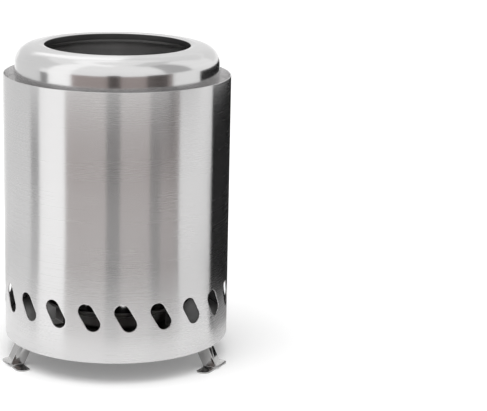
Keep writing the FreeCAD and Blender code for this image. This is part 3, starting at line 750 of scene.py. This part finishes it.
def build_flame_ring(sizes):
    """The spun dome with its skirt, shoulder and rolled-in edge."""
    slope = math.tan(sizes.ring_slope)
    crown = sizes.ring_shoulder + (sizes.ring_radius - sizes.ring_brow) * slope
    edge = crown - sizes.ring_dip
    drop = sizes.sheet / math.cos(sizes.ring_slope)
    inner_skirt = sizes.ring_radius - sizes.sheet
    inner_edge = sizes.ring_hole + sizes.sheet
    broken = sizes.edge_round
    brow_round = 6.0 * MM
    lip_round = 0.2 * MM
    outline = rounded([
        (sizes.ring_radius, sizes.ring_foot, broken),
        (sizes.ring_radius, sizes.ring_shoulder, sizes.ring_shoulder_round),
        (sizes.ring_brow, crown, brow_round),
        (sizes.ring_hole, edge, sizes.ring_edge_round),
        (sizes.ring_hole, sizes.ring_lip_foot, broken),
        (inner_edge, sizes.ring_lip_foot, broken),
        (inner_edge, edge - drop, lip_round),
        (sizes.ring_brow, crown - drop, brow_round),
        (inner_skirt, sizes.ring_shoulder + sizes.sheet * slope - drop,
         sizes.ring_shoulder_round - sizes.sheet),
        (inner_skirt, sizes.ring_foot, broken),
    ], steps=14)
    ring = turned("flame_ring_spun", outline, columns=320)
    set_material(ring, finishes()["ring_spun_steel"])
    shade(ring)
    hand_over(ring, "ring", "flame_ring")


def weld_radius(sizes):
    """The radius of what is welded inside the shell."""
    return sizes.shell_radius - sizes.sheet - WELD_GAP


def build_burn_chamber(sizes):
    """The inner pot, with its ledge, its jets and its bottom flange."""
    sheet = sizes.sheet
    rim = weld_radius(sizes) - sheet / 2
    wall = sizes.chamber_radius - sheet / 2
    ledge = sizes.ledge - sheet / 2
    flange = sizes.chamber_bottom + sheet / 2
    lip_depth = 6.0 * MM
    rim_round = 1.4 * MM
    mouth_round = 1.6 * MM
    foot_round = 4.6 * MM
    half_panel = 4.5 * MM
    corners = [
        (rim, sizes.ledge - lip_depth),
        (rim, ledge, rim_round),
        (wall, ledge, mouth_round),
        (wall, flange, foot_round),
        (sizes.chamber_opening, flange),
    ]
    points = [tuple(point) for point in rounded(corners, steps=8, closed=False)]
    points.reverse()
    panel = None
    profile = []
    for point, after in zip(points, points[1:] + [None]):
        profile.append(point)
        if after and max(abs(point[0] - wall), abs(after[0] - wall)) < SAME_PLACE:
            profile.append((wall, sizes.jet_height - half_panel))
            panel = len(profile) - 1
            profile.append((wall, sizes.jet_height + half_panel))
    if panel is None:
        raise RuntimeError("the chamber has no upright wall for its jets")
    chamber = pierced_sector(
        "burn_chamber_sheet", profile, panel, sizes.jet_count, pill(0.0, sizes.jet_radius, 0.0),
        sizes.jet_height, columns=8, sides=8, rings=3,
    )
    steel_finish = finishes()["chamber_brushed_steel"]
    set_material(chamber, steel_finish)
    add_nodes(
        chamber, repeat_round_tree(), count=sizes.jet_count, first_turn=0.0, material=steel_finish,
    )
    add_wall(chamber, sheet, 0.0)
    add_soft_edges(chamber, sizes.edge_round * 0.8)
    bake_modifiers(chamber)
    shade(chamber)
    hand_over(chamber, "root", "burn_chamber")


def build_base_plate(sizes):
    """The dished disc that closes the bottom of the double wall."""
    weld = weld_radius(sizes)
    under = sizes.base_top - sizes.sheet
    broken = sizes.edge_round
    bend_round = 2.0 * MM
    outline = rounded([
        (0.0, sizes.base_top),
        (weld, sizes.base_top, bend_round),
        (weld, sizes.base_top - sizes.base_lip, broken),
        (weld - sizes.sheet, sizes.base_top - sizes.base_lip, broken),
        (weld - sizes.sheet, under, bend_round - sizes.sheet),
        (0.0, under),
    ], steps=6)
    base = turned("base_plate_disc", outline, columns=192, closed=False)
    material = finishes()["base_mill_steel"]
    set_material(base, material)
    for setback in RIVET_SETBACKS:
        add_nodes(
            base, drill_round_tree(), count=len(LEG_TURNS), first_turn=math.radians(LEG_TURNS["rear"]),
            ring_radius=LEG_PIVOT - setback, hole_radius=RIVET_HOLE, height=sizes.base_top,
            material=material,
        )
    bake_modifiers(base)
    shade(base)
    hand_over(base, "root", "base_plate")


def build_fire_grate(sizes):
    """The drilled disc that holds the fuel."""
    low = sizes.grate_bottom
    high = low + sizes.grate_sheet
    broken = sizes.edge_round * 1.5
    outline = rounded([
        (sizes.grate_finger, low, broken),
        (sizes.grate_radius, low, broken),
        (sizes.grate_radius, high, broken),
        (sizes.grate_finger, high, broken),
    ], steps=4)
    grate = turned("fire_grate_disc", outline, columns=192)
    material = finishes()["grate_mill_steel"]
    set_material(grate, material)
    inner_margin = 9.0 * MM
    outer_margin = 10.0 * MM
    inner = sizes.grate_finger + inner_margin
    outer = sizes.grate_radius - outer_margin
    for radius, count in ((inner, 9), ((inner + outer) / 2, 15), (outer, 21)):
        add_nodes(
            grate, drill_round_tree(), count=count, first_turn=0.0, ring_radius=radius,
            hole_radius=sizes.grate_hole, height=low, material=material,
        )
    bake_modifiers(grate)
    shade(grate)
    hand_over(grate, "grate", "fire_grate")


def build_ash_pan(sizes):
    """The shallow pan under the grate, with a rim turned out."""
    low = sizes.pan_bottom
    high = low + sizes.pan_height
    sheet = sizes.sheet
    broken = sizes.edge_round
    foot_round = 4.0 * MM
    rim_round = 0.4 * MM
    mouth_round = 0.6 * MM
    outline = rounded([
        (0.0, low),
        (sizes.pan_radius, low, foot_round),
        (sizes.pan_radius, high - sheet, rim_round),
        (sizes.pan_radius + sizes.pan_rim, high - sheet, broken),
        (sizes.pan_radius + sizes.pan_rim, high, broken),
        (sizes.pan_radius - sheet, high, mouth_round),
        (sizes.pan_radius - sheet, low + sheet, foot_round - sheet),
        (0.0, low + sheet),
    ], steps=6)
    pan = turned("ash_pan_bowl", outline, columns=192, closed=False)
    set_material(pan, finishes()["inner_mill_steel"])
    shade(pan)
    hand_over(pan, "pan", "ash_pan")


def softened(node, name, width):
    """A copy of a CAD node's solid with its sharp edges broken."""
    weld_distance = 2e-7
    flat_angle = math.radians(0.5)
    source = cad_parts[node]
    bm = bmesh.new()
    bm.from_mesh(source.data)
    bmesh.ops.remove_doubles(bm, verts=bm.verts, dist=weld_distance)
    bmesh.ops.dissolve_limit(
        bm, angle_limit=flat_angle, verts=bm.verts, edges=bm.edges, delimit={"NORMAL"},
    )
    copy = new_piece(name, bm)
    add_soft_edges(copy, width, angle=SOLID_ANGLE)
    bake_modifiers(copy)
    shade(copy, SOLID_ANGLE)
    return copy


def build_legs():
    """The three folded channels with their turned-out feet."""
    steels = finishes()
    for side in LEG_TURNS:
        leg = softened(f"leg_{side}", f"leg_{side}_channel", width=0.2 * MM)
        set_material(leg, steels[f"leg_{side}_satin_steel"])
        hand_over(leg, f"leg_{side}", f"leg_{side}")


def dress_small_parts():
    """The brackets, pins, washers, rivets, stand-offs and tabs keep their solids and get their steel."""
    steels = finishes()
    wanted = {
        "leg_washers": "pin_plain_steel", "bracket_rivets": "pin_plain_steel",
        "chamber_spacers": "inner_mill_steel", "ring_tabs": "inner_mill_steel",
    }
    for side in LEG_TURNS:
        wanted[f"leg_bracket_{side}"] = f"leg_{side}_satin_steel"
        wanted[f"leg_pin_{side}"] = "pin_plain_steel"
    for node, finish in wanted.items():
        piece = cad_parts[node]
        if not piece.material_slots:
            piece.data.materials.append(steels[finish])
        for slot in piece.material_slots:
            slot.material = steels[finish]


def bare_material(name):
    """A material with nothing but its output, and its nodes."""
    material = bpy.data.materials.new(name)
    material.use_nodes = True
    tree = material.node_tree
    tree.nodes.remove(tree.nodes["Principled BSDF"])
    return material, tree


def plain_light(name, colour, strength):
    """A card's face: an even glow."""
    material, tree = bare_material(name)
    glow = tree.nodes.new("ShaderNodeEmission")
    set_inputs(glow, {"Color": (*colour, 1.0), "Strength": strength})
    link(tree, glow, 0, tree.nodes["Material Output"], "Surface")
    return material


def seen_rays(tree):
    """One for rays from the camera, from mirror-like and from clear surfaces, and else nothing."""
    path = tree.nodes.new("ShaderNodeLightPath")
    seen = math_node(tree, "MAXIMUM", (path, "Is Camera Ray"), (path, "Is Glossy Ray"))
    return math_node(tree, "MAXIMUM", (seen, 0), (path, "Is Transmission Ray"))


# Cards round the pit: name, first and last turn from the front in degrees (to the right is positive),
# glow, distance from the axis and heights of the lower and upper edges in metres, and how warm it is.
CARDS = (
    ("card_back_left", -180, -140, 1.05, 0.34, 0.0, 0.25),
    ("card_back_left_high", -180, -130, 0.82, 0.34, 0.25, 0.39),
    ("card_back_left_top", -180, -140, 1.3, 0.34, 0.41, 0.80),
    ("card_left", -140, -83, 0.81, 0.34, 0.0, 0.30),
    ("card_left_high", -130, -74, 0.80, 0.34, 0.30, 0.55),
    ("card_left_gap", -83, -72.5, 0.26, 0.34, 0.06, 0.20),
    ("card_left_gap_foot", -83, -72.5, 0.62, 0.34, 0.0, 0.06),
    ("card_left_key", -72.5, -44.5, 1.22, 0.34, 0.0, 1.10),
    ("card_front_left", -44.5, -7, 0.38, 0.34, 0.0, 0.24, 0.17),
    ("card_front_gap", -7, 5, 0.08, 0.34, 0.0, 0.27, 0.17),
    ("card_front_right", 5, 31.5, 0.36, 0.34, 0.0, 0.24, 0.17),
    ("card_right_dark", 31.5, 41, 0.11, 0.34, 0.0, 0.26, 0.17),
    ("card_right_pale", 41, 54, 0.40, 0.34, 0.0, 0.13, 0.17),
    ("card_right_dusk", 41, 54, 0.08, 0.34, 0.13, 0.26, 0.17),
    ("card_right_gap", 54, 60, 0.26, 0.34, 0.0, 0.26, 0.17),
    ("card_right_key", 59.5, 100, 0.93, 0.34, 0.0, 0.27),
    ("card_right_shade", 52, 86, 0.50, 0.34, 0.27, 0.75),
    ("card_high_left", -180, -5, 1.25, 0.34, 0.90, 1.60),
    ("card_high_right", 40, 125, 0.72, 0.34, 0.75, 1.40),
    ("card_back_right", 100, 180, 0.98, 0.34, 0.0, 0.25),
    ("card_back_right_high", 130, 180, 0.84, 0.34, 0.25, 0.39),
    ("card_back_right_top", 120, 180, 0.86, 0.34, 0.41, 0.80),
    ("card_black_flag", 78, 130, 0.01, 0.118, 0.030, 0.212),
    ("card_black_foot", 79, 86, 0.01, 0.118, 0.010, 0.026),
    ("card_grey_foot", 86, 130, 0.36, 0.118, 0.0, 0.030),
    ("card_low_left", -140, -82, 0.80, 0.20, 0.0, 0.044),
    ("card_low_left_gap", -82, -69.5, 0.66, 0.20, 0.0, 0.044),
    ("card_low_left_key", -69.5, -42, 1.15, 0.20, 0.0, 0.044),
    ("card_low_front_left", -42, -7.5, 0.66, 0.20, 0.0, 0.044),
    ("card_low_front_gap", -7.5, 5, 0.46, 0.20, 0.0, 0.044),
    ("card_low_front_right", 5, 31.5, 0.58, 0.20, 0.0, 0.044),
    ("card_low_right_dark", 31.5, 49.5, 0.42, 0.20, 0.0, 0.044),
    ("card_low_right_gap", 49.5, 57, 0.52, 0.20, 0.0, 0.044),
    ("card_low_right_key", 57, 92, 0.74, 0.20, 0.0, 0.044),
)


def build_card(name, first, last, glow, radius, low, high, warmth=0.0):
    """A curved card that only polished metal sees."""
    bm = bmesh.new()
    step_degrees = 4
    steps = max(2, round((last - first) / step_degrees))
    rows = []
    for height in (low, high):
        row = []
        for step in range(steps + 1):
            turn = math.radians(first + (last - first) * step / steps)
            row.append(bm.verts.new((radius * math.sin(turn), -radius * math.cos(turn), height)))
        rows.append(row)
    for step in range(steps):
        bm.faces.new((rows[0][step + 1], rows[0][step], rows[1][step], rows[1][step + 1]))
    card = new_piece(name, bm)
    green_loss = 0.8
    colour = (1.0, 1.0 - warmth * green_loss, 1.0 - warmth)
    set_material(card, plain_light(name + "_face", colour, glow))
    card.visible_camera = False
    card.visible_diffuse = False
    card.visible_shadow = False
    card.visible_transmission = False
    card.visible_volume_scatter = False


def build_floor(studio):
    """A wide pale floor that shows white and keeps the pit's shadow, with painted shade round the pit
    where its glow is weaker.
    """
    bm = bmesh.new()
    bmesh.ops.create_grid(bm, x_segments=4, y_segments=4, size=6.0)
    floor = new_piece("studio_floor", bm)
    material, tree = bare_material("floor_paper")
    paper = tree.nodes.new("ShaderNodeBsdfDiffuse")
    paper.inputs["Color"].default_value = (*studio.floor_tint, 1.0)
    glow = tree.nodes.new("ShaderNodeEmission")
    place = tree.nodes.new("ShaderNodeTexCoord")
    far = tree.nodes.new("ShaderNodeVectorMath")
    far.operation = "LENGTH"
    link(tree, place, "Object", far, 0)
    # Painted shade: the glow rises with the distance from the pit, so the floor beside it is darker.
    painted_shade_ramp = tree.nodes.new("ShaderNodeMapRange")
    set_inputs(painted_shade_ramp, {
        "From Min": studio.glow_from, "From Max": studio.glow_to,
        "To Min": studio.glow_near_painted_shade, "To Max": studio.glow_far,
    })
    link(tree, far, "Value", painted_shade_ramp, "Value")
    lift_and_painted_shade = math_node(tree, "MULTIPLY", (seen_rays(tree), 0), (painted_shade_ramp, 0))
    link(tree, lift_and_painted_shade, 0, glow, "Strength")
    both = tree.nodes.new("ShaderNodeAddShader")
    link(tree, paper, 0, both, 0)
    link(tree, glow, 0, both, 1)
    link(tree, both, 0, tree.nodes["Material Output"], "Surface")
    set_material(floor, material)


def build_lights(studio):
    """Even light from all round and one wide soft lamp, above and in front, that looks at the pit."""
    world = bpy.data.worlds.new("studio_sky")
    world.use_nodes = True
    tree = world.node_tree
    sky = tree.nodes["Background"]
    sky.inputs["Color"].default_value = (1.0, 1.0, 1.0, 1.0)
    extra = math_node(tree, "MULTIPLY", (seen_rays(tree), 0), 1.0 - studio.sky)
    total = math_node(tree, "ADD", (extra, 0), studio.sky)
    link(tree, total, 0, sky, "Strength")
    bpy.context.scene.world = world
    lamp = bpy.data.lights.new("soft_lamp", "AREA")
    lamp.shape = "RECTANGLE"
    lamp.size, lamp.size_y = studio.lamp_size
    lamp.energy = studio.lamp_power
    holder = bpy.data.objects.new("soft_lamp", lamp)
    holder.location = studio.lamp_place
    middle = Vector((0.0, 0.0, 0.1))
    holder.rotation_mode = "QUATERNION"
    holder.rotation_quaternion = (middle - holder.location).to_track_quat("-Z", "Y")
    holder.visible_glossy = False
    holder.visible_camera = False
    bpy.context.scene.collection.objects.link(holder)


def build_camera(studio):
    """The camera where the photograph was taken from."""
    yaw = math.radians(CAMERA_YAW)
    pitch = math.radians(CAMERA_PITCH)
    roll = math.radians(CAMERA_ROLL)
    ahead = Vector((math.sin(yaw) * math.cos(pitch), math.cos(yaw) * math.cos(pitch), -math.sin(pitch)))
    level = ahead.cross(Vector((0.0, 0.0, 1.0))).normalized()
    upright = level.cross(ahead)
    right = math.cos(roll) * level + math.sin(roll) * upright
    up = math.cos(roll) * upright - math.sin(roll) * level
    data = bpy.data.cameras.new("camera")
    data.lens = studio.lens
    data.sensor_width = 36.0
    data.sensor_fit = "HORIZONTAL"
    data.clip_start = 0.05
    data.clip_end = 50.0
    camera = bpy.data.objects.new("camera", data)
    turn = Matrix((right, up, -ahead)).transposed()
    camera.rotation_mode = "QUATERNION"
    camera.rotation_quaternion = turn.to_quaternion()
    camera.location = CAMERA_PLACE
    bpy.context.scene.collection.objects.link(camera)
    bpy.context.scene.camera = camera


class FIREPIT_OT_outer_shell(bpy.types.Operator):
    """Make the outer shell with its slanted air inlets"""

    bl_idname = "firepit.outer_shell"
    bl_label = "Outer Shell"

    def execute(self, context):
        build_outer_shell(context.scene.fire_pit_sizes)
        return {"FINISHED"}


class FIREPIT_OT_flame_ring(bpy.types.Operator):
    """Make the spun flame ring"""

    bl_idname = "firepit.flame_ring"
    bl_label = "Flame Ring"

    def execute(self, context):
        build_flame_ring(context.scene.fire_pit_sizes)
        return {"FINISHED"}


class FIREPIT_OT_burn_chamber(bpy.types.Operator):
    """Make the burn chamber and the base plate under it"""

    bl_idname = "firepit.burn_chamber"
    bl_label = "Burn Chamber and Base"

    def execute(self, context):
        build_burn_chamber(context.scene.fire_pit_sizes)
        build_base_plate(context.scene.fire_pit_sizes)
        return {"FINISHED"}


class FIREPIT_OT_grate_and_pan(bpy.types.Operator):
    """Make the fire grate and the ash pan"""

    bl_idname = "firepit.grate_and_pan"
    bl_label = "Grate and Ash Pan"

    def execute(self, context):
        build_fire_grate(context.scene.fire_pit_sizes)
        build_ash_pan(context.scene.fire_pit_sizes)
        return {"FINISHED"}


class FIREPIT_OT_legs(bpy.types.Operator):
    """Make the folding legs and finish the small parts that carry them"""

    bl_idname = "firepit.legs"
    bl_label = "Legs and Small Parts"

    def execute(self, context):
        build_legs()
        dress_small_parts()
        return {"FINISHED"}


class FIREPIT_OT_studio(bpy.types.Operator):
    """Make the floor, the cards, the light and the camera"""

    bl_idname = "firepit.studio"
    bl_label = "Studio"

    def execute(self, context):
        studio = context.scene.fire_pit_studio
        build_floor(studio)
        for card in CARDS:
            build_card(*card)
        build_lights(studio)
        build_camera(studio)
        context.scene.view_settings.view_transform = "Standard"
        return {"FINISHED"}


class FIREPIT_PT_panel(bpy.types.Panel):
    """Lists the pieces of the fire pit"""

    bl_label = "Fire Pit"
    bl_idname = "FIREPIT_PT_panel"
    bl_space_type = "VIEW_3D"
    bl_region_type = "UI"
    bl_category = "Fire Pit"

    def draw(self, context):
        for operator in OPERATORS:
            self.layout.operator(operator.bl_idname)
        for group in (
            context.scene.fire_pit_sizes, context.scene.fire_pit_finish, context.scene.fire_pit_studio,
        ):
            box = self.layout.box()
            for name in group.__annotations__:
                box.prop(group, name)


OPERATORS = (
    FIREPIT_OT_outer_shell,
    FIREPIT_OT_flame_ring,
    FIREPIT_OT_burn_chamber,
    FIREPIT_OT_grate_and_pan,
    FIREPIT_OT_legs,
    FIREPIT_OT_studio,
)
CLASSES = (FirePitSizes, FirePitFinish, FirePitStudio, *OPERATORS, FIREPIT_PT_panel)


def register():
    """Registers the classes and puts their settings on the scene."""
    for item in CLASSES:
        bpy.utils.register_class(item)
    bpy.types.Scene.fire_pit_sizes = bpy.props.PointerProperty(type=FirePitSizes)
    bpy.types.Scene.fire_pit_finish = bpy.props.PointerProperty(type=FirePitFinish)
    bpy.types.Scene.fire_pit_studio = bpy.props.PointerProperty(type=FirePitStudio)


def unregister():
    """Removes the settings and the classes."""
    del bpy.types.Scene.fire_pit_studio
    del bpy.types.Scene.fire_pit_finish
    del bpy.types.Scene.fire_pit_sizes
    for item in reversed(CLASSES):
        bpy.utils.unregister_class(item)


def main():
    """Builds everything."""
    register()
    bpy.ops.firepit.outer_shell()
    bpy.ops.firepit.flame_ring()
    bpy.ops.firepit.burn_chamber()
    bpy.ops.firepit.grate_and_pan()
    bpy.ops.firepit.legs()
    bpy.ops.firepit.studio()


if __name__ == "__main__":
    main()
